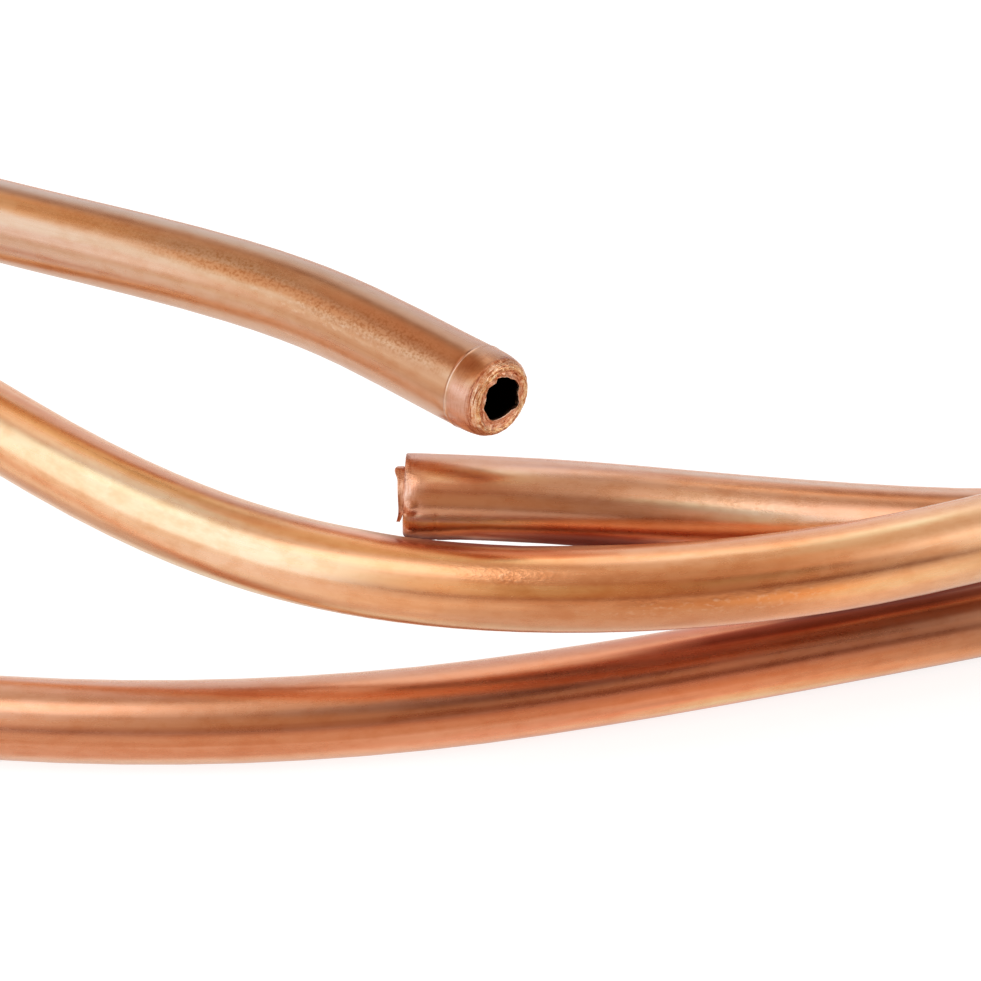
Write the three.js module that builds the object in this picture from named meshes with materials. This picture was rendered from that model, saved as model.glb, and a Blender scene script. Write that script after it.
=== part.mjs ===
// A loose coil of soft copper tube: one length of drawn, annealed tube wound by hand into three open
// turns, with both ends cut by a wheel cutter. Millimetres, +Z up, origin under the middle of the coil.
import * as THREE from 'three';

// Driving sizes
const TUBE_OD = 6; // outside diameter
const WALL = 1; // wall thickness
const TUBE_LENGTH = 2000; // length of the tube along its centre line
const TURN_CLEARANCE = 0.3; // least air left between two turns that lean on each other

// The cutter's work on each end: how far the wheel rolled the wall in at the cut, how long the rounded
// shoulder behind the cut is, the rounded outer corner of the cut face, and how far back the first turn
// of the wheel scored a ring. The upper end was cut with more pressure than the lower one.
const UPPER_CUT = { rollIn: 0.4, shoulder: 1.7, corner: 0.2, scoreBack: 2.6 };
const LOWER_CUT = { rollIn: 0.12, shoulder: 0.7, corner: 0.12, scoreBack: 2.3 };
const SCORE_WIDTH = 0.34; // width of the scored ring
const SCORE_DEPTH = 0.07; // depth of the scored ring

// Fineness of the facets
const OUTER_SIDES = 18;
const BORE_SIDES = 10;
const BEND_PER_RING = 6.4; // degrees of bend between two rings of facets
const ROUTE_SAMPLES = 9000; // fine samples along the route

const PITCH = TUBE_OD + TURN_CLEARANCE; // the space that one turn takes beside or over another

// How the turns lie, seen from above. Each row is a bearing in degrees from the near side of the coil,
// falling as the tube runs clockwise, then how far the tube leans out (+) or in (-) of the mean radius,
// then how high it lies. Both are in pitches, so the turns keep their air when the tube changes.
const LAY = [
  // upper end, bent outwards, then the top turn round the left, the back and the right
  [0.48, -0.28, 4.16], [-6, -2.12, 4.16], [-13, -2.88, 4.16], [-21, -3.22, 4.16], [-34, -3.35, 4.12],
  [-56, -2.8, 4], [-85, -1.4, 3.8], [-120, 0.2, 3.55], [-150, 1.2, 3.3], [-180, 1.8, 3.05],
  [-210, 2, 2.8], [-240, 1.8, 2.55], [-270, 1.2, 2.35], [-300, 0.4, 2.2], [-320, 0, 2.13],
  // middle turn, pinched in on its left
  [-335, -0.1, 2.11], [-347, 0.32, 2.11], [-357, 0.36, 2.11], [-366, 0.05, 2.11], [-374, -0.92, 2.11],
  [-382, -2.02, 2.11], [-391, -2.95, 2.08], [-404, -3.6, 2], [-425, -3.8, 1.9], [-450, -3.4, 1.75],
  [-480, -2.3, 1.55], [-510, -1, 1.35], [-540, -0.3, 1.15], [-570, -0.2, 0.9], [-600, -0.4, 0.6],
  [-625, -0.8, 0.35], [-650, -1.1, 0.12], [-672, -1.15, 0],
  // bottom turn, flat on the floor round the near side, the left and the back
  [-690, -1.2, 0], [-702, -1.48, 0], [-713, -1.17, 0], [-723, -0.5, 0], [-733, 0.18, 0],
  [-743, 0.86, 0], [-755, 1.65, 0], [-775, 2.4, 0], [-805, 2.7, 0], [-840, 2.5, 0],
  [-875, 2, 0], [-910, 1.6, 0], [-945, 1.3, 0], [-980, 1, 0], [-1005, 0.6, 0.12], [-1025, 0, 0.42],
  // lower end, rising behind the middle turn and resting over it
  [-1042, -0.55, 0.82], [-1056, -0.82, 1.33], [-1066, -0.82, 2], [-1074, -0.78, 2.46],
  [-1079, -0.76, 2.64], [-1083.4, -0.74, 2.67],
];

// The centre line of the tube, as a cubic B-spline through the lay of the turns.
class CoilRoute extends THREE.Curve {
  constructor(meanRadius) {
    super();
    this.meanRadius = meanRadius;
    const first = LAY[0];
    const last = LAY.at(-1);
    const before = first.map((value, i) => 2 * value - LAY[1][i]);
    const after = last.map((value, i) => 2 * value - LAY.at(-2)[i]);
    this.rows = [before, ...LAY, after];
    this.arcLengthDivisions = ROUTE_SAMPLES;
  }

  getPoint(t, target = new THREE.Vector3()) {
    const spans = this.rows.length - 3;
    const along = Math.min(t * spans, spans - 1e-9);
    const row = Math.floor(along);
    const f = along - row;
    const g = 1 - f;
    const weights = [g ** 3, 3 * f ** 3 - 6 * f ** 2 + 4, 3 * g ** 3 - 6 * g ** 2 + 4, f ** 3];
    const mix = (column) => weights.reduce((sum, w, i) => sum + (w / 6) * this.rows[row + i][column], 0);
    const bearing = THREE.MathUtils.degToRad(mix(0));
    const radius = this.meanRadius + mix(1) * PITCH;
    const height = TUBE_OD / 2 + mix(2) * PITCH;
    return target.set(radius * Math.sin(bearing), -radius * Math.cos(bearing), height);
  }
}

// The mean radius is whatever winds the whole length of tube into this lay.
function routeOfLength(length) {
  const turned = THREE.MathUtils.degToRad(LAY[0][0] - LAY.at(-1)[0]);
  let route = new CoilRoute(length / turned);
  for (let pass = 0; pass < 4; pass++) {
    route = new CoilRoute(route.meanRadius + (length - route.getLength()) / turned);
  }
  return route;
}

// Distances along the tube, between the shaped ends, where a ring of facets stands: one for each few
// degrees of bend.
function ringPlaces(route, start, end) {
  const step = (end - start) / ROUTE_SAMPLES;
  const places = [];
  let bend = 0;
  let heading = route.getTangentAt(start / TUBE_LENGTH);
  for (let i = 1; i < ROUTE_SAMPLES; i++) {
    const distance = start + i * step;
    const next = route.getTangentAt(distance / TUBE_LENGTH);
    bend += THREE.MathUtils.radToDeg(heading.angleTo(next));
    heading = next;
    if (bend >= BEND_PER_RING && end - distance > 1) {
      places.push(distance);
      bend = 0;
    }
  }
  return places;
}

// One ring of points round the centre line, with one point of the ring straight down.
function ring(route, distance, radius, sides) {
  const t = THREE.MathUtils.clamp(distance / TUBE_LENGTH, 0, 1);
  const centre = route.getPointAt(t);
  const heading = route.getTangentAt(t);
  const side = new THREE.Vector3().crossVectors(heading, new THREE.Vector3(0, 0, 1)).normalize();
  const up = new THREE.Vector3().crossVectors(side, heading);
  return Array.from({ length: sides }, (_, i) => {
    const angle = (2 * Math.PI * i) / sides - Math.PI / 2;
    return centre.clone()
      .addScaledVector(side, radius * Math.cos(angle))
      .addScaledVector(up, radius * Math.sin(angle));
  });
}

// Joins two skins of rings, the outside and the bore, into one closed tube with a flat ring at each cut.
function closedTube(outside, bore) {
  const points = [...outside.flat(), ...bore.flat()];
  const boreStart = outside.length * OUTER_SIDES;
  const faces = [];
  const addSkin = (start, rings, sides, facesOut) => {
    for (let r = 0; r + 1 < rings; r++) {
      for (let i = 0; i < sides; i++) {
        const a = start + r * sides + i;
        const b = start + r * sides + ((i + 1) % sides);
        const halves = [[a, b + sides, b], [a, a + sides, b + sides]];
        halves.forEach((half) => faces.push(...(facesOut ? half : half.reverse())));
      }
    }
  };
  addSkin(0, outside.length, OUTER_SIDES, true);
  addSkin(boreStart, bore.length, BORE_SIDES, false);

  const circle = (sides, radius) => Array.from({ length: sides }, (_, i) => {
    const angle = (2 * Math.PI * i) / sides - Math.PI / 2;
    return new THREE.Vector2(radius * Math.cos(angle), radius * Math.sin(angle));
  });
  const edges = [circle(OUTER_SIDES, TUBE_OD / 2), circle(BORE_SIDES, TUBE_OD / 2 - WALL)];
  const cutFace = THREE.ShapeUtils.triangulateShape(edges[0], [edges[1]]);
  const addCut = (outerRing, boreRing, facesBack) => {
    const place = (i) => (i < OUTER_SIDES
      ? outerRing * OUTER_SIDES + i
      : boreStart + boreRing * BORE_SIDES + i - OUTER_SIDES);
    cutFace.forEach((face) => faces.push(...(facesBack ? face : [...face].reverse()).map(place)));
  };
  addCut(0, 0, true);
  addCut(outside.length - 1, bore.length - 1, false);

  const geometry = new THREE.BufferGeometry().setFromPoints(points);
  geometry.setIndex(faces);
  geometry.computeVertexNormals();
  return geometry;
}

// How far a cut has rolled the wall in at a distance behind it.
function rolledIn(cut, back) {
  return cut.rollIn * (1 - Math.min(back / cut.shoulder, 1)) ** 2;
}

// The rings of the outside at one cut: its flat face's edge, the rounded shoulder and the scored ring.
function outerEnd(cut) {
  const radius = TUBE_OD / 2;
  const shoulder = [cut.corner, 0.45 * cut.shoulder, 0.8 * cut.shoulder, cut.shoulder];
  return [
    { back: 0, radius: radius - cut.rollIn - cut.corner },
    ...shoulder.map((back) => ({ back, radius: radius - rolledIn(cut, back) })),
    { back: cut.scoreBack - SCORE_WIDTH / 2, radius },
    { back: cut.scoreBack, radius: radius - SCORE_DEPTH },
    { back: cut.scoreBack + SCORE_WIDTH / 2, radius },
  ];
}

// The rings of the bore at one cut, rolled in with the wall.
function boreEnd(cut) {
  const radius = TUBE_OD / 2 - WALL;
  const backs = [0, 0.45 * cut.shoulder, cut.shoulder];
  return backs.map((back) => ({ back, radius: radius - rolledIn(cut, back) }));
}

// The whole tube: plain rings along the route, with the shaped rings of the cutter's work at each end.
function copperTube() {
  const route = routeOfLength(TUBE_LENGTH);
  const plainStart = outerEnd(UPPER_CUT).at(-1).back;
  const plainEnd = TUBE_LENGTH - outerEnd(LOWER_CUT).at(-1).back;
  const places = ringPlaces(route, plainStart, plainEnd);
  const skin = (endRings, radius, sides) => [
    ...endRings(UPPER_CUT).map((one) => ring(route, one.back, one.radius, sides)),
    ...places.map((distance) => ring(route, distance, radius, sides)),
    ...endRings(LOWER_CUT).map((one) => ring(route, TUBE_LENGTH - one.back, one.radius, sides)).reverse(),
  ];
  const boreRadius = TUBE_OD / 2 - WALL;
  return closedTube(skin(outerEnd, TUBE_OD / 2, OUTER_SIDES), skin(boreEnd, boreRadius, BORE_SIDES));
}

const copper = new THREE.MeshStandardMaterial({ color: '#c98a5f', roughness: 0.35, metalness: 1 });
const coil = new THREE.Mesh(copperTube(), copper);
coil.name = 'copper_tube';

// The coil stands centred over the origin, with its bottom turn on the floor.
const box = new THREE.Box3().setFromObject(coil);
const middle = box.getCenter(new THREE.Vector3());
coil.position.set(-middle.x, -middle.y, -box.min.z);

const group = new THREE.Group();
group.add(coil);
export default group;
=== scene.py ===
import math

import bpy
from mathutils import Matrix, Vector, noise


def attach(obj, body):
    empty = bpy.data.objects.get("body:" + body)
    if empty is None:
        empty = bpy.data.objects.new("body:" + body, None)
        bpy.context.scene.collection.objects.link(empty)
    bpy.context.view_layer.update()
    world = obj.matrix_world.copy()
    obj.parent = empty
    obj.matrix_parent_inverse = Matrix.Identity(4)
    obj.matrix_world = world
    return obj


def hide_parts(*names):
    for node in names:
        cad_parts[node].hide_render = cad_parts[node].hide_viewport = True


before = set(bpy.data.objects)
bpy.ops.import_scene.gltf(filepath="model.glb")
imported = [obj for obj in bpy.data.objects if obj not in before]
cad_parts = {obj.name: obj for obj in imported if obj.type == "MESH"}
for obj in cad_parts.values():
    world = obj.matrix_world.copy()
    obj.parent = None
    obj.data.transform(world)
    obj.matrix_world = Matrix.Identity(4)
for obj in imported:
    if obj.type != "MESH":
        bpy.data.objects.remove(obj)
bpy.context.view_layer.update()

# ---------------------------------------------------------------------------------------------------
# The lay of the coil: where the soft tube runs. It was pulled off a larger roll and left as it sprang:
# three loose turns on the floor, the bottom one flat, with both cut ends on the near side. The tube's
# centre line is a smooth curve that a Curve modifier later bends the straight tube along.
TUBE_OD = 0.006
WALL = 0.001
TUBE_LENGTH = 2.0
AIR = 0.0003  # what a turn keeps from its neighbour
PITCH = TUBE_OD + AIR
ROUTE_SAMPLES = 6000
FITTING_ROUNDS = 4  # how often the mean radius is corrected

# Each row is a bearing in degrees from the near side, falling as the tube runs clockwise seen from
# above, then how far the tube leans out (+) or in (-) of the mean radius, then its height: both in pitches.
LAY = [
    # upper end, bent outwards, then the top turn round the left, the back and the right
    (0.48, -0.28, 4.16), (-6, -2.12, 4.16), (-13, -2.88, 4.16), (-21, -3.22, 4.16), (-34, -3.35, 4.12),
    (-56, -2.8, 4), (-85, -1.4, 3.8), (-120, 0.2, 3.55), (-150, 1.2, 3.3), (-180, 1.8, 3.05),
    (-210, 2, 2.8), (-240, 1.8, 2.55), (-270, 1.2, 2.35), (-300, 0.4, 2.2), (-320, 0, 2.13),
    # middle turn, pinched in on its left
    (-335, -0.1, 2.11), (-347, 0.32, 2.11), (-357, 0.36, 2.11), (-366, 0.05, 2.11), (-374, -0.92, 2.11),
    (-382, -2.02, 2.11), (-391, -2.95, 2.08), (-404, -3.6, 2), (-425, -3.8, 1.9), (-450, -3.4, 1.75),
    (-480, -2.3, 1.55), (-510, -1, 1.35), (-540, -0.3, 1.15), (-570, -0.2, 0.9), (-600, -0.4, 0.6),
    (-625, -0.8, 0.35), (-650, -1.1, 0.12), (-672, -1.15, 0),
    # bottom turn, flat on the floor round the near side, the left and the back
    (-690, -1.2, 0), (-702, -1.48, 0), (-713, -1.17, 0), (-723, -0.5, 0), (-733, 0.18, 0),
    (-743, 0.86, 0), (-755, 1.65, 0), (-775, 2.4, 0), (-805, 2.7, 0), (-840, 2.5, 0),
    (-875, 2, 0), (-910, 1.6, 0), (-945, 1.3, 0), (-980, 1, 0), (-1005, 0.6, 0.12), (-1025, 0, 0.42),
    # lower end, rising behind the middle turn and resting over it
    (-1042, -0.55, 0.82), (-1056, -0.82, 1.33), (-1066, -0.82, 2), (-1074, -0.78, 2.46),
    (-1079, -0.76, 2.64), (-1083.4, -0.74, 2.67),
]


def extended(rows):
    """The rows with one more at each end, so that the curve starts and stops on the first and last."""
    before = tuple(2 * a - b for a, b in zip(rows[0], rows[1]))
    after = tuple(2 * a - b for a, b in zip(rows[-1], rows[-2]))
    return [before, *rows, after]


def lay_point(rows, t, mean_radius):
    """The point of the centre line at share t of its rows, as a cubic B-spline that they steer."""
    along = min(t * (len(rows) - 3), len(rows) - 3 - 1e-9)
    row = int(along)
    f = along - row
    weights = ((1 - f) ** 3, 3 * f**3 - 6 * f**2 + 4, -3 * f**3 + 3 * f**2 + 3 * f + 1, f**3)
    bearing, lean, level = (
        sum(w / 6 * rows[row + i][column] for i, w in enumerate(weights)) for column in range(3)
    )
    radius = mean_radius + lean * PITCH
    turn = math.radians(bearing)
    return Vector((radius * math.sin(turn), -radius * math.cos(turn), TUBE_OD / 2 + level * PITCH))


def measured(points):
    """The length of tube used up at each point."""
    used = [0.0]
    for a, b in zip(points, points[1:]):
        used.append(used[-1] + (b - a).length)
    return used


rows = extended(LAY)
turned = math.radians(LAY[0][0] - LAY[-1][0])
mean_radius = TUBE_LENGTH / turned
for _ in range(FITTING_ROUNDS):
    # the mean radius is whatever winds the whole length of tube into this lay
    line = [lay_point(rows, i / ROUTE_SAMPLES, mean_radius) for i in range(ROUTE_SAMPLES + 1)]
    used = measured(line)
    mean_radius += (TUBE_LENGTH - used[-1]) / turned
low = Vector(min(p[axis] for p in line) for axis in range(3))
high = Vector(max(p[axis] for p in line) for axis in range(3))
coil_centre = Vector(((low.x + high.x) / 2, (low.y + high.y) / 2, 0))

bend_path = bpy.data.curves.new("coil_route", "CURVE")
bend_path.dimensions = "3D"
bend_path.twist_mode = "Z_UP"
PATH_STEP = 4  # every fourth sample is enough for the bending path
path_points = [p - coil_centre for p in line[::PATH_STEP]]
spline = bend_path.splines.new("POLY")
spline.points.add(len(path_points) - 1)
for knot, place in zip(spline.points, path_points):
    knot.co = (*place, 1)
coil_route = bpy.data.objects.new("coil_route", bend_path)
bpy.context.collection.objects.link(coil_route)

# ---------------------------------------------------------------------------------------------------
# The copper tube: one piece of drawn and annealed copper, hollow from end to end. It is modelled
# straight along X, from the upper cut, through the cutter's shoulder and scored ring, down the whole
# length, over the lower cut and back through the bore, and then bent along the route.
MM = 0.001
SIDES = 112
LONGEST_STEP = 4.2  # mm between two rings where the tube runs nearly straight
BEND_STEP = 2.4  # degrees of bend between two rings where it doesn't
BORE_STEP = 12.5  # mm between two rings of the plain bore
SAME_PLACE = 0.000004  # points closer than this, in metres, are one
OUTER_RADIUS = 3  # mm, the plain tube's outer radius

# Rings of a cut end, each as the distance behind the cut and the radius in mm, from the bore outwards:
# the sharp lip, the groove and the rolled bead of the cut face, the shoulder, and the scored ring. The
# wheel was pressed hard on the upper end, and lightly on the lower one.
UPPER_END = [
    (6.0, 2.0), (3.6, 2.0), (2.2, 1.99), (1.5, 1.97), (1.05, 1.94), (0.75, 1.9), (0.5, 1.85), (0.32, 1.8),
    (0.18, 1.76), (0.08, 1.74), (0.02, 1.75), (0.0, 1.78), (0.015, 1.81), (0.06, 1.84), (0.12, 1.88),
    (0.16, 1.93), (0.17, 1.98), (0.15, 2.03), (0.1, 2.08), (0.05, 2.14), (0.015, 2.2), (0.0, 2.27),
    (0.01, 2.34), (0.04, 2.41), (0.08, 2.475), (0.13, 2.535), (0.19, 2.59), (0.25, 2.64), (0.31, 2.68),
    (0.37, 2.715), (0.43, 2.745), (0.49, 2.77), (0.55, 2.79), (0.61, 2.81), (0.67, 2.83), (0.73, 2.845),
    (0.79, 2.86), (0.85, 2.875), (0.91, 2.89), (0.98, 2.905), (1.06, 2.92), (1.16, 2.935), (1.28, 2.95),
    (1.42, 2.965), (1.6, 2.98), (1.8, 2.99), (2.05, 3.0), (2.3, 3.0), (2.42, 3.0), (2.5, 3.008),
    (2.56, 3.03), (2.61, 3.042), (2.66, 3.03), (2.72, 2.99), (2.79, 2.98), (2.9, 2.99), (3.1, 3.0),
    (3.5, 3.0), (4.1, 3.0), (4.9, 3.0), (6.0, 3.0),
]
LOWER_END = [
    (6.0, 2.0), (2.5, 2.0), (1.2, 1.98), (0.6, 1.95), (0.3, 1.91), (0.12, 1.88), (0.03, 1.89), (0.0, 1.93),
    (0.01, 2.0), (0.03, 2.1), (0.02, 2.25), (0.0, 2.42), (0.0, 2.56), (0.015, 2.66), (0.04, 2.73),
    (0.075, 2.785), (0.12, 2.83), (0.18, 2.87), (0.25, 2.9), (0.33, 2.925), (0.42, 2.95), (0.52, 2.967),
    (0.63, 2.98), (0.75, 2.99), (0.88, 2.996), (1.02, 3.0), (1.17, 3.0), (1.34, 3.0), (1.55, 3.0),
    (1.8, 3.0), (2.05, 3.0), (2.17, 2.995), (2.24, 2.975), (2.3, 2.96), (2.36, 2.975), (2.43, 2.998),
    (2.55, 3.002), (2.8, 3.0), (3.3, 3.0), (4.0, 3.0), (5.0, 3.0), (6.0, 3.0),
]

# Distances along the tube where a plain outer ring stands, closer together in the tight bends.
shaped = UPPER_END[-1][0] * MM
places = []
bend = 0
last = shaped
for before, here, after, distance in zip(line, line[1:], line[2:], used[1:]):
    if shaped < distance < TUBE_LENGTH - shaped:
        bend += math.degrees((here - before).angle(after - here))
        if bend > BEND_STEP or distance - last > LONGEST_STEP * MM:
            places.append(distance)
            bend = 0
            last = distance
bore_steps = round((TUBE_LENGTH - 2 * shaped) / (BORE_STEP * MM))

# Half of the tube's long section, spun round into the whole tube.
section = [(back * MM, radius * MM) for back, radius in UPPER_END]
section += [(distance, TUBE_OD / 2) for distance in places[:-1]]
section += [(TUBE_LENGTH - back * MM, radius * MM) for back, radius in reversed(LOWER_END)]
section += [
    (TUBE_LENGTH - shaped - (TUBE_LENGTH - 2 * shaped) * i / bore_steps, TUBE_OD / 2 - WALL)
    for i in range(1, bore_steps)
]

outline = bpy.data.meshes.new("copper_tube_drawn")
outline.from_pydata(
    [(x, radius, 0) for x, radius in section],
    [(i, (i + 1) % len(section)) for i in range(len(section))],
    [],
)
tube = bpy.data.objects.new("copper_tube_drawn", outline)
bpy.context.collection.objects.link(tube)

bpy.ops.object.select_all(action="DESELECT")
tube.select_set(True)
bpy.context.view_layer.objects.active = tube
bpy.ops.object.mode_set(mode="EDIT")
bpy.ops.mesh.select_all(action="SELECT")
bpy.ops.mesh.spin(
    steps=SIDES, angle=2 * math.pi, center=(0, 0, 0), axis=(1, 0, 0), use_auto_merge=True)
bpy.ops.mesh.select_all(action="SELECT")
bpy.ops.mesh.remove_doubles(threshold=SAME_PLACE)
bpy.ops.mesh.normals_make_consistent(inside=False)
bpy.ops.object.mode_set(mode="OBJECT")

# The cutter's work is uneven, so the rings of the two ends are reshaped point by point. Lengths are in
# mm, and angles in degrees round the tube: 0 on the side that faces out of the coil there, 90 at the top.
UPPER_BORE_EDGE = [  # the torn edge of the rolled-in lip: angle, radius
    (-180, 1.45), (-170, 1.54), (-160, 1.67), (-152, 1.8), (-144, 1.86), (-137, 1.68), (-127, 1.4),
    (-108, 1.32), (-80, 1.33), (-61, 1.45), (-43, 1.62), (-23, 1.62), (-8, 1.72), (2, 1.86), (9, 1.84),
    (17, 1.76), (26, 1.79), (32, 1.92), (49, 1.94), (58, 1.83), (67, 1.72), (73, 1.92), (84, 1.86),
    (94, 1.74), (119, 1.56), (142, 1.61), (166, 1.65), (173, 1.59), (180, 1.45),
]
LIP_RADIUS = 1.76  # the plain radius that those of the torn edge replace
LIP_ROOT = 2.2  # how far out the torn lip reaches
LIP_BACK = 1.97  # inside this radius it fades out down the bore
GROOVE_RADIUS = 2.0
BEAD_RADIUS = 2.3
FACE_DEPTH = 0.45  # how far behind the cut its face reaches
SHOULDER_START = 2.6  # the radius outside which the shoulder lies
TORN_BACK = 0.6  # how far back the cut has torn the shoulder, on average
SCRATCH_BACK = 2.36  # how far back a short scratch lies, beside the scored ring
MID_WALL = 2.6  # the radius at which the noise is read


def between(table, x):
    """The value of a table of pairs at x, in a straight line between its rows."""
    for (x0, y0), (x1, y1) in zip(table, table[1:]):
        if x0 <= x <= x1:
            return y0 + (y1 - y0) * (x - x0) / (x1 - x0)
    return table[-1][1]


def smooth(low, high, x):
    """0 below low, 1 above high, and a smooth step between."""
    share = min(max((x - low) / (high - low), 0), 1)
    return share * share * (3 - 2 * share)


def bump(x, width):
    """1 at 0, falling off smoothly on both sides."""
    return math.exp(-((x / width) ** 2))


def rough_at(angle, x, fineness, seed):
    """Noise from -1 to 1 on the surface of the tube: angle in degrees, x in mm, grains per mm."""
    turn = math.radians(angle)
    y, z = math.cos(turn) * MID_WALL * fineness, math.sin(turn) * MID_WALL * fineness
    return noise.noise(Vector((y, z, x * fineness + seed)))


def upper_shape(back, radius, angle):
    """Where a point of the upper end goes, as the cutter and the torn lip left it."""
    if radius < LIP_ROOT:
        torn = between(UPPER_BORE_EDGE, angle) - LIP_RADIUS + 0.02 * rough_at(angle, 0, 2.4, 3.0)
        depth = 1 - smooth(0.25, 1.4, back) if radius < LIP_BACK else 1
        radius += torn * depth * (1 - smooth(1.8, 2.24, radius))
    if back < FACE_DEPTH and radius > 1.7:
        lumps = 0.05 + 0.09 * rough_at(angle, radius, 2.6, 9.0) + 0.06 * rough_at(angle, radius, 5, 17.0)
        back += bump(radius - BEAD_RADIUS, 0.34) * lumps
        back += 0.12 * bump(radius - GROOVE_RADIUS, 0.12) * (0.5 + rough_at(angle, radius, 1.6, 29.0))
    if radius > SHOULDER_START:
        line = TORN_BACK + 0.2 * math.cos(math.radians(angle + 10))
        line += 0.07 * rough_at(angle, 0, 3.6, 41.0) + 0.04 * rough_at(angle, 0, 1.3, 47.0)
        torn_off = 1 - smooth(line - 0.04, line + 0.04, back)
        radius -= 0.03 * torn_off * smooth(0.1, 0.3, back)
        radius += 0.025 * bump(back - line - 0.05, 0.06) * (0.4 + rough_at(angle, 0, 3.6, 53.0))
        radius += 0.025 * torn_off * rough_at(angle, back, 4, 61.0)
        radius -= 0.025 * bump(back - SCRATCH_BACK, 0.03) * bump(angle - 2, 26)
    return max(back, 0), radius


# The curls of metal on the lower end's rim: how far back, at what angle, half length, half width, height.
LOWER_CURLS = [(0.56, 14, 0.36, 8, 0.075), (0.45, -19, 0.22, 5, 0.045)]
NICKED_BACK = 0.2  # how far behind the cut its face is nicked
CRUSHED_AT, CRUSHED_DEPTH = 48, 0.13  # the middle of the dent in the rim, and its depth
RIM_LENGTH = 0.7  # how much of the rim is rounded by the cutter
SQUARE_AT = 116  # the angle where it was left square
SCORED_BACK = 1.9  # the lightly scored ring lies behind this


def lower_shape(back, radius, angle):
    """Where a point of the lower end goes: a nearly square cut with nicks and a dent on its near side."""
    if back < NICKED_BACK and radius < 2.7:
        back += 0.03 * (0.5 + rough_at(angle, radius, 3, 71.0))
        radius += 0.03 * rough_at(angle, 0, 2, 73.0) * (1 - smooth(1.95, 2.3, radius))
    if radius > SHOULDER_START:
        crushed = smooth(26, 36, angle) * (1 - smooth(56, 66, angle))
        radius -= CRUSHED_DEPTH * crushed * (1 - smooth(0, 0.95, back + 0.012 * abs(angle - CRUSHED_AT)))
        if back < RIM_LENGTH:
            radius += (OUTER_RADIUS - radius) * 0.75 * bump(angle - SQUARE_AT, 42)
        for curl_back, curl_angle, length, width, height in LOWER_CURLS:
            reach = math.hypot((back - curl_back) / length, (angle - curl_angle) / width)
            radius += height * (bump(reach, 0.8) - 0.7 * bump(reach - 1.5, 0.5))
        radius += 0.02 * rough_at(angle, back, 4, 83.0) * (1 - smooth(0.2, 1.3, back))
        radius -= 0.05 * bump(back - 0.1, 0.16) * max(0, rough_at(angle, 0, 3.4, 89.0))
        if back > SCORED_BACK:
            radius = OUTER_RADIUS + (radius - OUTER_RADIUS) * (1 - smooth(-5, 20, angle)) * 0.7
    return max(back, 0), radius


HAND_BENT = 0.014  # mm, how far the pulled-out tube is from truly round, in long soft waves
LONG_WAVE, SHORT_WAVE = 11, 4.5  # mm along the tube
OUTER_SKIN = 2.9  # mm; points farther out than this are on the outside of the tube
END_LENGTH = 3.2  # mm of each end that the cutter has shaped
# Where the end rests over the middle turn, both are pressed a little flat: mm along the tube, degrees
# round it, half length, half width and depth in mm.
PRESSED = [(1990.85, -59, 5.85, 52, 0.075), (673.95, 121, 6.15, 52, 0.075)]
for point in tube.data.vertices:
    x, y, z = point.co / MM
    angle = math.degrees(math.atan2(z, y))
    old_radius = radius = math.hypot(y, z)
    back = min(x, TUBE_LENGTH / MM - x)
    if radius > OUTER_SKIN and back > 3:
        turn = math.radians(angle)
        wave = noise.noise(Vector((x / LONG_WAVE, 1.3 * math.cos(turn), 1.3 * math.sin(turn))))
        turned_place = Vector((x / SHORT_WAVE, MID_WALL * math.cos(turn) + 9, MID_WALL * math.sin(turn)))
        wave += 0.4 * noise.noise(turned_place)
        radius += HAND_BENT * wave
    if radius > OUTER_SKIN:
        for along, middle, half_length, half_width, depth in PRESSED:
            across = abs((angle - middle + 180) % 360 - 180) / half_width
            lengthways = abs(x - along) / half_length
            radius -= depth * (1 - smooth(0.8, 1.2, lengthways)) * (1 - smooth(0.3, 1, across))
    if back < END_LENGTH:
        if x < END_LENGTH:
            back, radius = upper_shape(back, radius, angle)
            x = back
        else:
            back, radius = lower_shape(back, radius, angle)
            x = TUBE_LENGTH / MM - back
    point.co = Vector((x, y * radius / old_radius, z * radius / old_radius)) * MM

# A sliver of burr still hangs on the lower cut: a folded lump over the rim, and a thin curled strip that
# tapers to a point. It is one surface of cross-sections down the sliver, each as its angle round the tube
# in degrees, its radius, where it starts and ends beyond the cut, and how thick it is, all in mm.
BURR = [
    (97, 2.2, 0.16, 0.27, 0.06), (92, 2.24, 0.05, 0.43, 0.22), (86, 2.3, -0.07, 0.58, 0.36),
    (78, 2.38, -0.12, 0.7, 0.46), (71, 2.42, -0.12, 0.69, 0.42), (64, 2.46, -0.12, 0.58, 0.3),
    (58, 2.5, -0.12, 0.46, 0.2), (50, 2.56, -0.12, 0.42, 0.16), (40, 2.6, -0.12, 0.4, 0.14),
    (30, 2.64, -0.12, 0.36, 0.13), (20, 2.68, -0.12, 0.31, 0.12), (11, 2.71, -0.12, 0.27, 0.11),
    (3, 2.74, -0.07, 0.28, 0.1), (-4, 2.77, 0.04, 0.34, 0.08), (-9, 2.8, 0.16, 0.4, 0.04),
]
ROUND = 10  # points round each cross-section
CURLED = 0.16  # how much farther out the strip's two edges stand, as a share of its width
UNEVEN = 0.05  # mm, how uneven it is
strip = []
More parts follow.
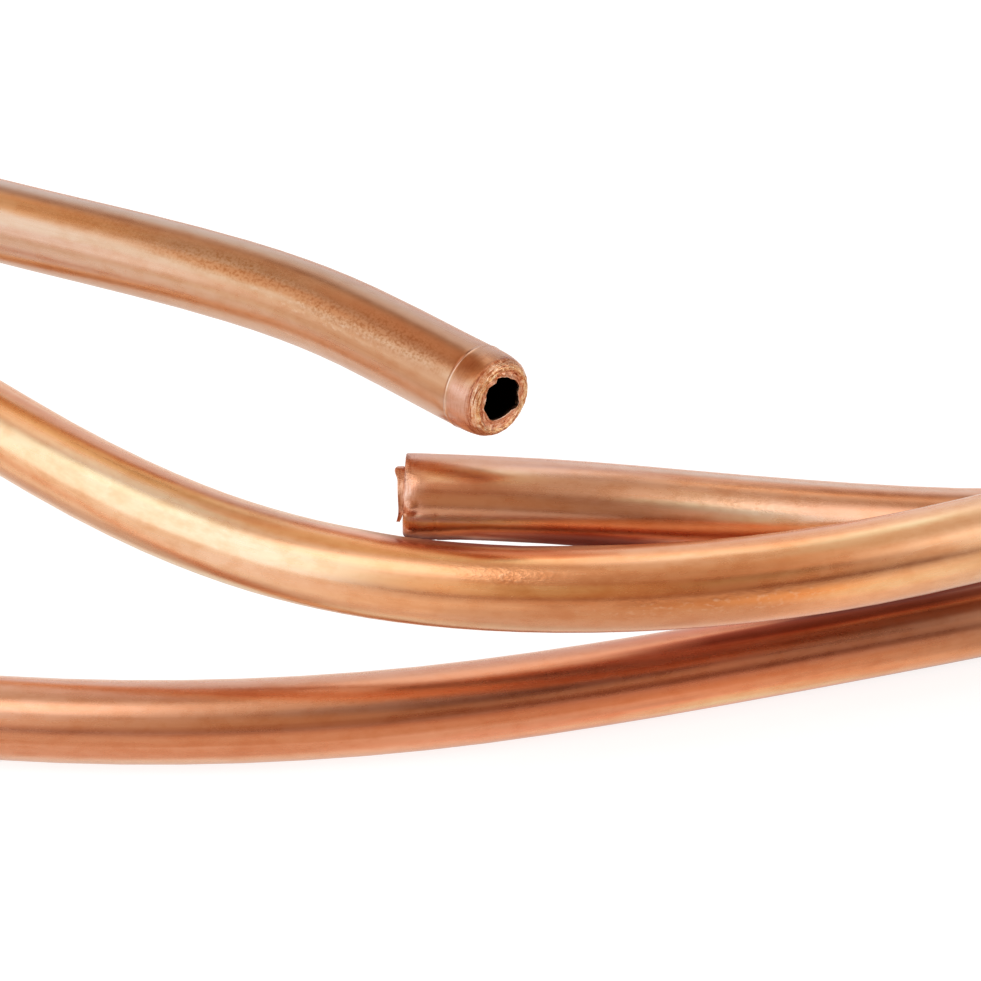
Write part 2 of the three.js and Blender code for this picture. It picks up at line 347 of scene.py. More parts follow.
for number, (angle, radius, start, end, thick) in enumerate(BURR):
    for i in range(ROUND):
        turn = 2 * math.pi * i / ROUND
        beyond = (start + end) / 2 + (end - start) / 2 * math.cos(turn)
        away = radius + thick / 2 * math.sin(turn) + CURLED * math.cos(turn) ** 2 * (end - start)
        away += UNEVEN * noise.noise(Vector((number * 0.9, turn * 1.3, 7)))
        around = math.radians(angle + 2 * noise.noise(Vector((number * 0.8, turn, 3))))
        y, z = away * math.cos(around), away * math.sin(around)
        strip.append(Vector((TUBE_LENGTH / MM + beyond, y, z)) * MM)
sides = [
    (n * ROUND + i, n * ROUND + (i + 1) % ROUND, (n + 1) * ROUND + (i + 1) % ROUND, (n + 1) * ROUND + i)
    for n in range(len(BURR) - 1)
    for i in range(ROUND)
]
caps = [tuple(range(ROUND)), tuple(reversed(range((len(BURR) - 1) * ROUND, len(BURR) * ROUND)))]
sliver = bpy.data.meshes.new("burr")
sliver.from_pydata(strip, [], sides + caps)
burr = bpy.data.objects.new("burr", sliver)
bpy.context.collection.objects.link(burr)
bpy.ops.object.select_all(action="DESELECT")
burr.select_set(True)
bpy.context.view_layer.objects.active = burr
rounding = burr.modifiers.new("rounding", "SUBSURF")
rounding.levels = 2
bpy.ops.object.modifier_apply(modifier="rounding")
bpy.ops.object.mode_set(mode="EDIT")
bpy.ops.mesh.select_all(action="SELECT")
bpy.ops.mesh.normals_make_consistent(inside=False)
bpy.ops.object.mode_set(mode="OBJECT")
tube.select_set(True)
bpy.context.view_layer.objects.active = tube
bpy.ops.object.join()

# The colour of the copper drifts along the tube, partly as it was annealed and handled and partly as
# painted light and shade: paler on the middle turn's near left, where it catches the bright light, and
# darker on the bottom turn's right, where it runs in shade under the middle one. Each is mm from the upper
# end.
TUBE_COLOURS = [
    (0, "#cb9973"), (24.7, "#d0a27c"), (47.4, "#d6b194"), (120, "#f2b88a"), (600, "#f7b888"),
    (638.2, "#e2b589"), (651.7, "#f2ae79"), (678, "#f5bd90"), (692.3, "#ffdcb7"), (720.9, "#fcc58d"),
    (780, "#f7b888"), (1200, "#e0a080"), (1243.8, "#ba805b"), (1264.5, "#df936b"), (1291.4, "#ecae88"),
    (1318.9, "#edbb9d"), (1400, "#f7b888"), (1900, "#f7b888"), (1962.2, "#ebb28c"), (1977.2, "#ecbfa3"),
    (2000, "#dfa680"),
]
# Oxide stains, cleaner places and uneven tones, but most of these patches are painted light and shade:
# painted highlights and reflections where they lighten, and painted shade, painted contact shadows and
# painted dark reflections of the next turn where they darken. Each is mm from the upper end, degrees round
# the tube, half length, half width, softness of the edge, and how much red, green and blue it gives back
# compared with the copper round it.
STAINS_AND_PAINTED_LIGHT = [
    (10.9, 23, 15.5, 11, 0.4, (0.88, 0.75, 0.65)), (4.8, 60, 11.8, 17, 0.5, (0.88, 0.66, 0.49)),
    (29.1, -4, 31.5, 13, 0.3, (1.15, 1.3, 1.54)), (8.9, -26, 22.4, 14, 0.5, (1.17, 1.39, 1.7)),
    (42.5, 60, 9.1, 12, 0.5, (1.25, 1.08, 0.78)), (20.1, 43, 10.1, 8, 0.5, (0.84, 0.6, 0.41)),
    (35.5, 20, 15.7, 8, 0.5, (0.95, 0.84, 0.85)), (663.4, -14, 12.3, 24, 0.3, (0.76, 0.73, 0.75)),
    (663.4, 18, 10.6, 6, 0.5, (1.12, 1.05, 0.98)), (661.7, 44, 12.5, 8, 0.5, (0.92, 0.87, 0.84)),
    (696.8, -32, 25.7, 15, 0.4, (0.91, 0.93, 0.87)), (703.3, 81, 15.5, 9, 0.4, (0.95, 0.84, 0.6)),
    # (676, 95) here and (670, 84) below: painted shadow of the lower end resting on the middle turn.
    (683.6, 70, 7.3, 9, 0.5, (1.05, 0.86, 0.65)), (676, 95, 3.1, 13, 0.35, (0.56, 0.32, 0.26)),
    (670, 84, 4.7, 9, 0.4, (0.79, 0.47, 0.31)), (688.2, 5, 7.6, 9, 0.5, (1.01, 1.01, 1.07)),
    (641.4, 65, 9.5, 20, 0.5, (1.31, 1.38, 1.54)), (643, -10, 7.3, 22, 0.5, (1.16, 1.25, 1.4)),
    (656.6, 66, 8.6, 9, 0.5, (1.12, 1.3, 1.56)), (654.4, 6, 7.6, 7, 0.5, (0.96, 0.83, 0.64)),
    # (1252.1, -25): a painted reflection; (1254.7, 72): painted shade under the middle turn.
    (1252.1, -25, 18.8, 17, 0.5, (1.75, 2.05, 2.08)), (1254.7, 72, 14.5, 11, 0.35, (0.31, 0.14, 0.13)),
    (1269.2, 58, 9, 10, 0.5, (0.65, 0.52, 0.55)), (1252, 50, 12.5, 8, 0.5, (0.57, 0.68, 0.91)),
    (1251.9, 104, 16.9, 20, 0.5, (0.87, 0.7, 0.67)), (1296.9, 8, 42, 9, 0.3, (0.81, 0.64, 0.51)),
    (1307.9, -12, 20.4, 14, 0.5, (0.9, 0.74, 0.63)), (1278.2, 42, 15.4, 8, 0.5, (0.67, 0.7, 0.85)),
    (1302.3, 77, 9.3, 13, 0.5, (0.79, 0.7, 0.71)), (1276.4, -23, 13.6, 14, 0.5, (1.14, 1.1, 1.1)),
    (1313.3, 32, 7.4, 9, 0.5, (1.03, 1.06, 1.09)), (1283.1, 20, 38.5, 7, 0.4, (0.86, 0.74, 0.71)),
    # (1987, -26): a painted dark reflection of the middle turn under the lower end.
    (681.8, 90, 3.7, 14, 0.5, (1.16, 1.06, 1.08)), (1987, -26, 7.5, 15, 0.4, (0.43, 0.17, 0.12)),
    (1997.1, -9, 4.5, 9, 0.4, (1.36, 1.8, 1.95)), (1973.3, 31, 5.8, 9, 0.4, (1.14, 1.36, 1.44)),
    (1968.3, 18, 6, 18, 0.5, (1.07, 1.23, 1.36)), (1989.2, 78, 7.3, 12, 0.5, (0.91, 1.04, 1.27)),
    (1980, 48, 5.6, 14, 0.5, (1.28, 1.31, 1.28)), (1995.4, 63, 4.5, 12, 0.5, (1.22, 1.49, 1.47)),
    (1996.3, 42, 3.6, 8, 0.5, (0.89, 0.74, 0.66)), (1985.3, -5, 5.5, 8, 0.5, (1.22, 1.11, 1.13)),
    (2.0, 52, 1.0, 18, 0.4, (0.8, 0.66, 0.56)), (1.5, 0, 1.4, 20, 0.5, (0.97, 1.15, 1.45)),
    (1999.4, 42, 0.8, 14, 0.4, (1.1, 1.3, 1.5)), (1999.3, -6, 1.1, 20, 0.4, (1.17, 1.32, 1.61)),
    (2000.4, 45, 0.35, 14, 0.4, (1.3, 1.6, 1.9)), (2000.5, 4, 0.35, 15, 0.4, (0.45, 0.25, 0.2)),
    (700, -18, 20, 10, 0.5, (0.73, 0.61, 0.55)), (703, 98, 16, 10, 0.4, (0.81, 0.6, 0.52)),
    (678, -38, 20, 12, 0.5, (0.96, 1.12, 1.18)), (668, 0, 16, 12, 0.5, (0.96, 0.9, 0.81)),
    (672, 30, 12, 10, 0.5, (1.11, 1.13, 1.02)), (645, 2, 9, 12, 0.5, (1.16, 1.17, 1.09)),
    (1290, 98, 30, 12, 0.5, (0.96, 0.99, 1.02)), (1285, -34, 32, 12, 0.5, (1.08, 1.24, 1.3)),
    (1256, 96, 13, 8, 0.4, (1.12, 1.01, 0.9)), (1972, 100, 16, 10, 0.5, (0.96, 1.17, 1.28)),
    (1975, 78, 14, 9, 0.5, (1.19, 1.05, 0.87)), (28, 96, 20, 10, 0.5, (0.97, 1.12, 1.27)),
    (35, 76, 14, 10, 0.5, (1.03, 0.9, 0.79)), (686, 95, 10, 9, 0.5, (0.87, 0.87, 0.93)),
    (676, 72, 8, 10, 0.5, (1.12, 1.19, 1.14)), (20, 18, 24, 9, 0.5, (1.12, 1.18, 1.19)),
    (38, 50, 10, 8, 0.5, (0.97, 0.91, 0.86)), (42, -10, 6, 8, 0.5, (0.94, 0.9, 0.9)),
    (1998, 77, 2.2, 8, 0.5, (1.2, 1.16, 1.1)), (1991, 12, 4, 7, 0.5, (0.93, 0.93, 0.92)),
    (1980, 86, 12, 6, 0.5, (0.91, 0.82, 0.75)), (655, 38, 10, 6, 0.5, (1.14, 1.11, 1.06)),
    (661, 13, 17, 6, 0.5, (0.89, 0.86, 0.85)), (670, 99, 8, 8, 0.4, (0.98, 0.92, 0.9)),
    (671, 72, 6, 7, 0.5, (1.04, 1.12, 1.1)), (678.5, 74, 4, 6, 0.5, (0.93, 0.9, 0.94)),
    (705, 79, 9, 7, 0.5, (1.06, 1.1, 1.12)), (684, -33, 6, 7, 0.5, (1.14, 1.2, 1.18)),
    (1253, 27, 12, 7, 0.5, (0.89, 0.89, 0.94)), (1253, 39, 12, 6, 0.5, (0.81, 0.85, 0.9)),
    (1257, 2, 16, 8, 0.5, (1.19, 1.23, 1.17)), (1276, 34, 8, 8, 0.5, (0.91, 0.93, 0.98)),
    (1290, 112, 34, 9, 0.4, (1.12, 1.47, 1.69)), (643, -54, 9, 12, 0.4, (0.7, 0.6, 0.55)),
    (639, 94, 9, 20, 0.5, (1.18, 1.15, 1.14)), (653, 75, 14, 6, 0.5, (1.12, 1.18, 1.25)),
    (653, 32, 5, 8, 0.5, (1.22, 1.2, 1.22)), (668, 32, 5, 8, 0.5, (1.12, 1.2, 1.35)),
    (661, 14, 16, 5, 0.5, (0.91, 0.87, 0.81)), (684, 112, 5, 10, 0.5, (1.05, 1.28, 1.45)),
    (690.5, 74, 4, 6, 0.5, (0.86, 0.74, 0.68)), (700, 62, 9, 6, 0.5, (1.22, 1.2, 1.4)),
    (701, 50, 12, 6, 0.5, (1.17, 1.12, 1.08)), (1996, 1, 4.5, 6, 0.5, (1.5, 2.2, 2.5)),
    (1982, 38, 5, 6, 0.5, (1.24, 1.24, 1.2)), (1250, 50, 11, 6, 0.5, (0.91, 0.78, 0.7)),
    (1251, 62, 10, 6, 0.5, (1.17, 1.2, 1.12)), (1249, 87, 11, 6, 0.4, (0.55, 0.45, 0.4)),
    (1258, -38, 12, 12, 0.5, (1.07, 1.15, 1.25)), (1304, -42, 11, 12, 0.5, (1.03, 1.16, 1.26)),
    (1978, 25, 4.5, 7, 0.5, (1.27, 1.09, 1.0)),
]
# Each patch below is mm from the upper end, degrees round the tube, half length, half width, and how
# strong. First painted shade where one turn rests on or under another: its contact shadows and the dark
# reflections of the next turn, painted as a dull dark red-brown.
CONTACT_SHADE_PATCHES = [
    (1985.4, -47, 10, 27, 0.95), (1998, -58, 6, 29, 0.95), (672.5, 112, 8.5, 15, 0.95),
    (1248, 87, 10, 9, 0.9),
]
# Worn places: brown specks, then bright crinkles.
SPECKLED = [
    (24.2, 52, 8.7, 20, 1), (8.5, 48, 6.4, 22, 1), (15.3, 42, 4.3, 18, 0.9), (34.5, 62, 7.2, 16, 0.6),
]
CRINKLED = [
    (671, 50, 4.1, 16, 0.8), (654.4, 2, 6.7, 16, 1), (661.8, 2, 4.1, 14, 0.7), (15.5, 30, 8.5, 14, 0.6),
    (1977.2, 60, 8.7, 26, 0.4),
]
BORE_DARKENING = Vector((0.1, 0.07, 0.06))  # what is left of the copper's colour inside the bore, darkened nearly to black


def linear(hex_code):
    """An sRGB hex colour as linear red, green, blue and full alpha."""
    channels = [int(hex_code[i : i + 2], 16) / 255 for i in (1, 3, 5)]
    return (*(c / 12.92 if c <= 0.04045 else ((c + 0.055) / 1.055) ** 2.4 for c in channels), 1.0)


def ragged(along, angle):
    """Uneven edges for the stains, the painted light and shade, and the worn places."""
    wide = noise.noise(Vector((along * 0.9, angle * 0.06, 5)))
    return 0.16 * wide + 0.1 * noise.noise(Vector((along * 2.5, angle * 0.15, 9)))


def in_patches(patches, along, angle):
    """How strongly a place on the tube lies in any of the patches."""
    found = 0
    for x, middle, half_length, half_width, strength in patches:
        reach = math.hypot((along - x) / half_length, (angle - middle) / half_width)
        found = max(found, strength * (1 - smooth(0.4, 1.3, reach + ragged(along, angle))))
    return found


PATCH_REACH = 2  # in half sizes; no patch shows farther from its middle


def stains_and_painted_light(along, angle):
    """What the stains and the painted light and shade leave of red, green and blue at a place on the tube.
    """
    left = Vector((1, 1, 1))
    for x, middle, half_length, half_width, softness, tint in STAINS_AND_PAINTED_LIGHT:
        reach = math.hypot((along - x) / half_length, (angle - middle) / half_width)
        if reach < PATCH_REACH:
            share = 1 - smooth(1 - softness, 1 + softness, reach + ragged(along, angle))
            left = Vector(c * t**share for c, t in zip(left, tint))
    return left


drift = [(x, Vector(linear(colour)[:3])) for x, colour in TUBE_COLOURS]
GOLDEN = Vector(linear("#ffeec4")[:3])  # the torn face
BURNISH_AND_HIGHLIGHT = Vector(linear("#ffe4d0")[:3])  # edges that the wheel has burnished, painted lighter as highlights on the scored ring and the lip
PINK = Vector(linear("#e6b09a")[:3])  # bare copper beside the cuts
FOLD_SHADE = Vector(linear("#d08860")[:3])  # painted shade in the folds of the torn metal and the groove of the cut face
BEAD = Vector(linear("#ffdcc0")[:3])  # the rolled bead
CONTACT_SHADE_COLOUR = Vector(linear("#8b3c29")[:3])  # painted shade: dark red-brown where one turn lies on or under the next
SCORE = 2.6  # mm from the upper cut to the crest of its scored ring
UPPER_RIM = 0.6  # mm behind that cut, the edge of the torn metal
LOWER_WORK = 1997.5  # mm from the upper end, where the lower cutter has rubbed the copper
BORE_REACH = 2.06  # points closer in than this, and away from the cuts, are inside the bore
BORE_START, BORE_END = 0.35, 1999.6
FILM = 0.9  # how much of the surface keeps its film of oil
straight_places, colours, wear, film, painted_contact_shade = [], [], [], [], []
for point in tube.data.vertices:
    x, y, z = point.co / MM
    radius = math.hypot(y, z)
    angle = math.degrees(math.atan2(z, y))
    colour = between(drift, min(max(x, 0), TUBE_LENGTH / MM))
    # How deep the painted contact shade lies here.
    shade_share = in_patches(CONTACT_SHADE_PATCHES, x, angle)
    # The stains and the painted highlights, reflections and shade multiply the copper's colour.
    stain_and_light = stains_and_painted_light(x, angle)
    colour = Vector(min(c * s, 1) for c, s in zip(colour, stain_and_light)).lerp(CONTACT_SHADE_COLOUR, shade_share)
    cut = 0
    if x < SCORE and radius > 1.2:
        grit = rough_at(angle, radius + x, 3, 101.0)
        before_score = 1 - smooth(2.2, SCORE, x)
        cut = 0.2 * before_score + 0.8 * (1 - smooth(0.5, 1.0, x + 0.15 * grit))
        colour = colour.lerp(PINK, 0.6 * before_score * (1 - smooth(24, 44, angle)))
        # a painted highlight along the crest of the scored ring
        colour = colour.lerp(BURNISH_AND_HIGHLIGHT, 0.9 * bump(x - SCORE, 0.06))
        colour = colour.lerp(BEAD, 0.8 * (1 - smooth(0.4, 0.7, x + 0.1 * grit)))
        # painted shade in the torn fold on the shoulder
        colour = colour.lerp(FOLD_SHADE, 0.7 * bump(x - UPPER_RIM + 0.12 * grit, 0.1) * smooth(2.5, 2.8, radius))
        colour = colour.lerp(GOLDEN, 0.9 * bump(radius - BEAD_RADIUS + 0.1 * grit, 0.22))
        # painted shade in the groove of the cut face
        colour = colour.lerp(FOLD_SHADE, 0.6 * bump(radius - 1.98 + 0.05 * grit, 0.06))
        # a painted highlight on the lip round the bore
        colour = colour.lerp(BURNISH_AND_HIGHLIGHT, 0.9 * bump(x, 0.15) * (1 - smooth(1.8, 1.92, radius)))
    if x > LOWER_WORK and radius > 1.8:
        cut = 0.5 * smooth(1998.6, 1999.8, x)
        colour = colour.lerp(PINK, 0.5 * smooth(1997.6, 1999.6, x) * (1 - shade_share))
    if radius < BORE_REACH and BORE_START < x < BORE_END:
        colour = Vector(c * t for c, t in zip(colour, BORE_DARKENING))
    straight_places += [*point.co]
    colours += [*colour, 1.0]
    wear += [in_patches(SPECKLED, x, angle), in_patches(CRINKLED, x, angle), cut]
    film.append(FILM * min(stain_and_light.y, 1) * (1 - shade_share))
    painted_contact_shade.append(shade_share)
# The place on the straight tube is kept too, for patterns that follow the drawing direction.
for name, kind, field, values in [
    ("drawn_place", "FLOAT_VECTOR", "vector", straight_places),
    ("copper_colour", "FLOAT_COLOR", "color", colours),
    ("wear", "FLOAT_VECTOR", "vector", wear),
    ("oil_film", "FLOAT", "value", film),
    ("painted_contact_shade", "FLOAT", "value", painted_contact_shade),
]:
    tube.data.attributes.new(name, kind, "POINT").data.foreach_set(field, values)

bend_tube = tube.modifiers.new("bend", "CURVE")
bend_tube.object = coil_route
bend_tube.deform_axis = "POS_X"
bpy.ops.object.modifier_apply(modifier="bend")
bpy.ops.object.shade_smooth()
bpy.data.objects.remove(coil_route)

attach(tube, "root")
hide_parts("copper_tube")


def node(tree, kind, settings=None, links=None):
    """Adds a node, sets its properties and sockets, and links sockets to other nodes' outputs."""
    made = tree.nodes.new("ShaderNode" + kind)
    for name, value in (settings or {}).items():
        if isinstance(name, str) and hasattr(made, name):
            setattr(made, name, value)
        else:
            made.inputs[name].default_value = value
    for name, source in (links or {}).items():
        tree.links.new(source, made.inputs[name])
    return made


# Drawn and annealed copper, handled and a little oxidised: soft drawing lines along the tube, cloudy
# paler and browner places, brown specks and bright crinkles where it is worn, and a thin clear film of
# drawing oil that turns the edges pale.
copper = bpy.data.materials.new("drawn annealed copper")
copper.use_nodes = True
metal = copper.node_tree
metal.nodes.clear()
place = node(metal, "Attribute", {"attribute_name": "drawn_place"})
# The copper's colour on the points, with its painted light and shade in it.
own_colour = node(metal, "Attribute", {"attribute_name": "copper_colour"})
oil_film = node(metal, "Attribute", {"attribute_name": "oil_film"})
painted_contact_shade = node(metal, "Attribute", {"attribute_name": "painted_contact_shade"}).outputs["Fac"]
wear_of_place = node(metal, "Attribute", {"attribute_name": "wear"})
worn = node(metal, "SeparateXYZ", links={0: wear_of_place.outputs["Vector"]})
speckled, crinkled, cut = worn.outputs["X"], worn.outputs["Y"], worn.outputs["Z"]


def pattern(long_mm, round_mm, detail, seed, roughness=0.5):
    """Noise whose grains are so many mm long and wide."""
    size = (1 / (long_mm * MM), 1 / (round_mm * MM), 1 / (round_mm * MM))
    scaled = node(metal, "VectorMath", {"operation": "MULTIPLY", 1: size}, {0: place.outputs["Vector"]})
    return node(metal, "TexNoise", {
        "noise_dimensions": "4D", "W": seed, "Scale": 1.0, "Detail": detail, "Roughness": roughness},
        {"Vector": scaled.outputs[0]}).outputs["Fac"]


def layered(*layers):
    """The sum of some patterns, each stretched from one range to another, all over or by a share."""
    total = None
    for value, from_low, from_high, to_low, to_high, *share in layers:
        layer = node(metal, "MapRange", {
            "From Min": from_low, "From Max": from_high, "To Min": to_low, "To Max": to_high},
            {"Value": value}).outputs[0]
        if share:
            layer = node(metal, "Math", {"operation": "MULTIPLY"}, {0: layer, 1: share[0]}).outputs[0]
        if total is not None:
            layer = node(metal, "Math", {"operation": "ADD"}, {0: total, 1: layer}).outputs[0]
        total = layer
    return total


def tinted(under, value, *stops, share=None):
    """The copper with a pattern's tints over it: stops of (position, hex colour), all over or by a share."""
    tint = node(metal, "ValToRGB", links={"Fac": value})
    while len(tint.color_ramp.elements) < len(stops):
        tint.color_ramp.elements.new(0.5)
    for element, (position, hex_code) in zip(tint.color_ramp.elements, stops):
        element.position = position
        element.color = linear(hex_code)
    return node(
        metal, "Mix", {"data_type": "RGBA", "blend_type": "MULTIPLY", 0: 1.0},
        {6: under, 7: tint.outputs["Color"], **({0: share} if share else {})}).outputs[2]


# The die leaves lines much finer than a tenth of a mm. They are drawn wider, so that they show.
clouds = pattern(long_mm=13, round_mm=3.4, detail=5, seed=2.0, roughness=0.62)
blotches = pattern(long_mm=1.7, round_mm=1.0, detail=3, seed=31.0, roughness=0.6)
lines = pattern(long_mm=26, round_mm=0.32, detail=3, seed=5.0)
drawing = pattern(long_mm=60, round_mm=0.9, detail=2, seed=8.0)
streaky = pattern(long_mm=16, round_mm=1.6, detail=2, seed=21.0)
specks = pattern(long_mm=0.24, round_mm=0.19, detail=3, seed=11.0)
crinkles = pattern(long_mm=0.5, round_mm=0.3, detail=3, seed=14.0)
grit = pattern(long_mm=0.2, round_mm=0.16, detail=2, seed=17.0)
# Torn rings round the cut: the noise is fine outwards and along the tube, and long round it.
RING_WIDTH = 0.1  # mm
RING_LENGTH = 0.9  # mm
where = node(metal, "SeparateXYZ", links={0: place.outputs["Vector"]})
outwards = node(metal, "VectorMath", {"operation": "LENGTH"}, {
    0: node(metal, "CombineXYZ", links={1: where.outputs["Y"], 2: where.outputs["Z"]}).outputs[0]})
fine, forward, sideways, upwards = (
    node(metal, "Math", {"operation": "MULTIPLY", 1: 1 / (size * MM)}, {0: where_to}).outputs[0]
    for size, where_to in [
        (RING_WIDTH, outwards.outputs["Value"]), (RING_WIDTH, where.outputs["X"]),
        (RING_LENGTH, where.outputs["Y"]), (RING_LENGTH, where.outputs["Z"]),
    ]
)
rings = node(metal, "CombineXYZ", links={0: forward, 1: fine, 2: sideways})
turned = node(metal, "TexNoise", {"noise_dimensions": "4D", "Scale": 1.0, "Detail": 3, "Roughness": 0.6}, {
    "Vector": rings.outputs[0], "W": upwards}).outputs["Fac"]

# Colour: clouds of thin oxide, small blotches, darker drawing lines in streaks, then the worn places.
colour = own_colour.outputs["Color"]
colour = tinted(colour, clouds, (0.3, "#f1e1d1"), (0.5, "#fdfaf7"), (0.66, "#ffffff"))
colour = tinted(colour, blotches, (0.34, "#f8eee4"), (0.56, "#ffffff"))
streaks = layered((streaky, 0.42, 0.66, 0.04, 0.3))
colour = tinted(colour, lines, (0.32, "#e6d6ca"), (0.5, "#ffffff"), share=streaks)
colour = tinted(colour, layered((specks, 0.44, 0.64, 0, 1, speckled)), (0, "#ffffff"), (1, "#e2cba8"))
pale_crinkles = layered((crinkles, 0.54, 0.7, 0, 0.28, crinkled))
colour = node(
    metal, "Mix", {"data_type": "RGBA", 7: linear("#ffe2c0")}, {0: pale_crinkles, 6: colour}).outputs[2]
colour = tinted(colour, layered((grit, 0.35, 0.6, 0, 1)), (0, "#ecd2b8"), (1, "#ffffff"), share=cut)
colour = tinted(colour, turned, (0.38, "#b4785a"), (0.44, "#ecccb0"), (0.52, "#ffffff"), share=cut)

# Gloss: soft and a little uneven, dull under the painted contact shade, and duller where it is speckled.
roughness = layered(
    (clouds, 0.3, 0.7, 0.24, 0.32), (lines, 0.3, 0.7, -0.02, 0.02), (blotches, 0.3, 0.7, -0.015, 0.015),
    (painted_contact_shade, 0, 1, 0, 0.6), (specks, 0.4, 0.65, 0.0, 0.08, speckled))

# Relief, as shares of its full height.
RELIEF = 0.012  # mm
height = layered(
    (lines, 0, 1, 0, 0.1), (drawing, 0, 1, 0, 0.25), (blotches, 0, 1, 0, 0.28),
    (crinkles, 0.35, 0.7, 0, 1.2, crinkled), (grit, 0.3, 0.7, 0, 1.6, cut),
    (turned, 0.3, 0.7, 0, 2.6, cut), (specks, 0.4, 0.65, 0, 0.2, speckled))
relief = node(metal, "Bump", {"Strength": 1.0, "Distance": RELIEF * MM}, {"Height": height})
# Under the painted contact shade the surface turns to a dull non-metal.
shader = node(metal, "BsdfPrincipled", {"Coat Roughness": 0.26, "Coat IOR": 1.32}, {
    "Base Color": colour, "Metallic": layered((painted_contact_shade, 0, 1, 1, 0)), "Roughness": roughness,
    "Coat Weight": oil_film.outputs["Fac"], "Normal": relief.outputs["Normal"]})
node(metal, "OutputMaterial", links={"Surface": shader.outputs["BSDF"]})
tube.data.materials.clear()
tube.data.materials.append(copper)

# ---------------------------------------------------------------------------------------------------
# The stage: a plain white table top that the coil lies on. The camera and the metal see it as white
# paper lit from all round, and it keeps the coil's shadow.
SEEN_GLOW = 0.82  # what the camera sees beside the paper's own grey, so that it looks white
MIRRORED_GLOW = 0.62  # and what the metal sees of it
bpy.ops.mesh.primitive_plane_add(size=8, location=(0, 0, 0))
table_top = bpy.context.object
table_top.name = "table_top"
white = bpy.data.materials.new("matt white table top")
white.use_nodes = True
paper = white.node_tree
paper.nodes.clear()
paint = node(paper, "BsdfDiffuse", {"Color": linear("#a8a8a8")})
ray = node(paper, "LightPath")
seen = node(paper, "Math", {"operation": "MULTIPLY", 1: SEEN_GLOW}, {0: ray.outputs["Is Camera Ray"]})
mirrored = node(
    paper, "Math", {"operation": "MULTIPLY", 1: MIRRORED_GLOW}, {0: ray.outputs["Is Glossy Ray"]})
glow = node(paper, "Emission", {"Color": (1, 1, 1, 1)}, {"Strength": seen.outputs[0]})
warm_glow = node(paper, "Emission", {"Color": linear("#fff0e6")}, {"Strength": mirrored.outputs[0]})
lit_paper = node(paper, "AddShader", links={0: paint.outputs[0], 1: glow.outputs[0]})
both = node(paper, "AddShader", links={0: lit_paper.outputs[0], 1: warm_glow.outputs[0]})
node(paper, "OutputMaterial", links={"Surface": both.outputs[0]})
table_top.data.materials.append(white)

# The studio round it: soft light boxes from cool white to warm, with a dim orange-brown glow between
# them. Each is its bearing and half width in degrees (0 is the near side, 90 the right), its lowest and
# highest elevation, how soft its edges are, and how much red, green and blue it gives.
LIGHT_BOXES = [
    (-71.5, 37.5, -14, 48.5, 14, (1.18, 1.53, 1.82)),
    (-42.5, 29.5, 50, 78, 11, (1.33, 1.42, 1.51)),
    (76, 25.5, 1, 51, 11, (1.58, 1.67, 1.79)),
    (174, 18, -14, 81, 11, (0.77, 0.87, 0.97)),
    (0, 200, 46.5, 100, 11, (0.45, 0.42, 0.34)),
    (-6, 22.5, 7.5, 43, 11, (0.38, 0.29, 0.18)),
    (-136, 15, -10, 47.5, 12, (1.06, 0.98, 0.89)),
    (37, 15, 14, 31, 9, (0.38, 0.33, 0.25)),
    (136, 9.5, 2.5, 56, 9, (0.6, 0.57, 0.5)),
    (-151, 6, 6.5, 44, 9, (0.53, 0.51, 0.48)),
    (-20.5, 7.5, 6, 47, 9, (0.47, 0.45, 0.43)),
    (0, 19.5, 77, 95, 10, (0.28, 0.29, 0.29)),
]
DIM = (0.148, 0.04, 0.012)  # what glows between the boxes, in the same measure
world = bpy.data.worlds.new("soft studio")
bpy.context.scene.world = world
world.use_nodes = True
studio = world.node_tree
studio.nodes.clear()
toward = node(studio, "SeparateXYZ", links={0: node(studio, "TexCoord").outputs["Generated"]})
nearness = node(studio, "Math", {"operation": "MULTIPLY", 1: -1.0}, {0: toward.outputs["Y"]})
bearing = node(
    studio, "Math", {"operation": "ARCTAN2"}, {0: toward.outputs["X"], 1: nearness.outputs[0]})
elevation = node(studio, "Math", {"operation": "ARCSINE"}, {0: toward.outputs["Z"]})

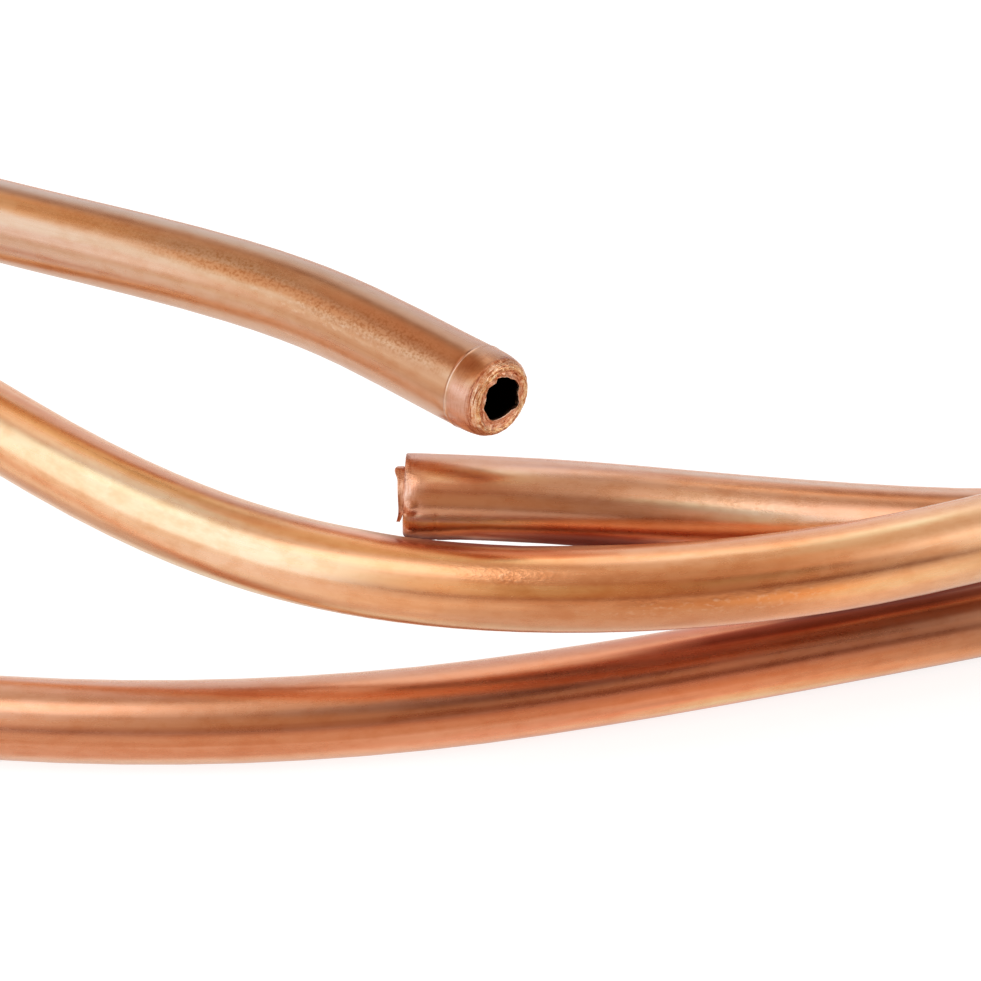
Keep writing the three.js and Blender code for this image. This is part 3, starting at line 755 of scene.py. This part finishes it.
total = None
for middle, half_width, lowest, highest, softness, brightness in LIGHT_BOXES:
    off_middle = node(
        studio, "Math", {"operation": "SUBTRACT", 1: math.radians(middle)}, {0: bearing.outputs[0]})
    wrapped = node(
        studio, "Math", {"operation": "WRAP", 1: math.pi, 2: -math.pi}, {0: off_middle.outputs[0]})
    beside = node(studio, "Math", {"operation": "ABSOLUTE"}, {0: wrapped.outputs[0]})
    # each edge is a smooth step from dark to lit over the softness, in degrees
    across, above, below = (
        node(studio, "MapRange", {
            "interpolation_type": "SMOOTHSTEP",
            "From Min": math.radians(at - softness / 2), "From Max": math.radians(at + softness / 2),
            "To Min": dark_side, "To Max": 1.0 - dark_side}, {"Value": value}).outputs[0]
        for value, at, dark_side in [
            (beside.outputs[0], half_width, 1.0),
            (elevation.outputs[0], lowest, 0.0),
            (elevation.outputs[0], highest, 1.0),
        ]
    )
    upright = node(studio, "Math", {"operation": "MULTIPLY"}, {0: above, 1: below})
    box = node(studio, "Math", {"operation": "MULTIPLY"}, {0: upright.outputs[0], 1: across})
    lit = node(studio, "VectorMath", {"operation": "SCALE", 0: brightness}, {"Scale": box.outputs[0]})
    if total:
        total = node(studio, "VectorMath", links={0: total, 1: lit.outputs[0]}).outputs[0]
    else:
        total = lit.outputs[0]
everything = node(studio, "VectorMath", {1: DIM}, {0: total})
boxes = node(studio, "Background", {"Strength": 1.0}, {"Color": everything.outputs[0]})
beyond = node(studio, "Background", {"Color": (1, 1, 1, 1), "Strength": 1.0})
eye_ray = node(studio, "LightPath")
sky = node(studio, "MixShader", links={
    0: eye_ray.outputs["Is Camera Ray"], 1: boxes.outputs[0], 2: beyond.outputs[0]})
node(studio, "OutputWorld", links={"Surface": sky.outputs[0]})

# The camera looks down on the near side, from far off through a long lens.
LOOK_DOWN = math.radians(31)
FRAME_PIXELS = 981
FOCAL_PIXELS = 4200
EYE = Vector((0, -0.35046, 0.1705)) - coil_centre
eye = bpy.data.cameras.new("eye")
eye.sensor_width = 36
eye.lens = FOCAL_PIXELS / FRAME_PIXELS * eye.sensor_width
eye.clip_start = 0.01
camera = bpy.data.objects.new("eye", eye)
camera.location = EYE
camera.rotation_euler = (math.pi / 2 - LOOK_DOWN, 0, 0)
bpy.context.collection.objects.link(camera)
bpy.context.scene.camera = camera
bpy.context.scene.view_settings.view_transform = "Standard"
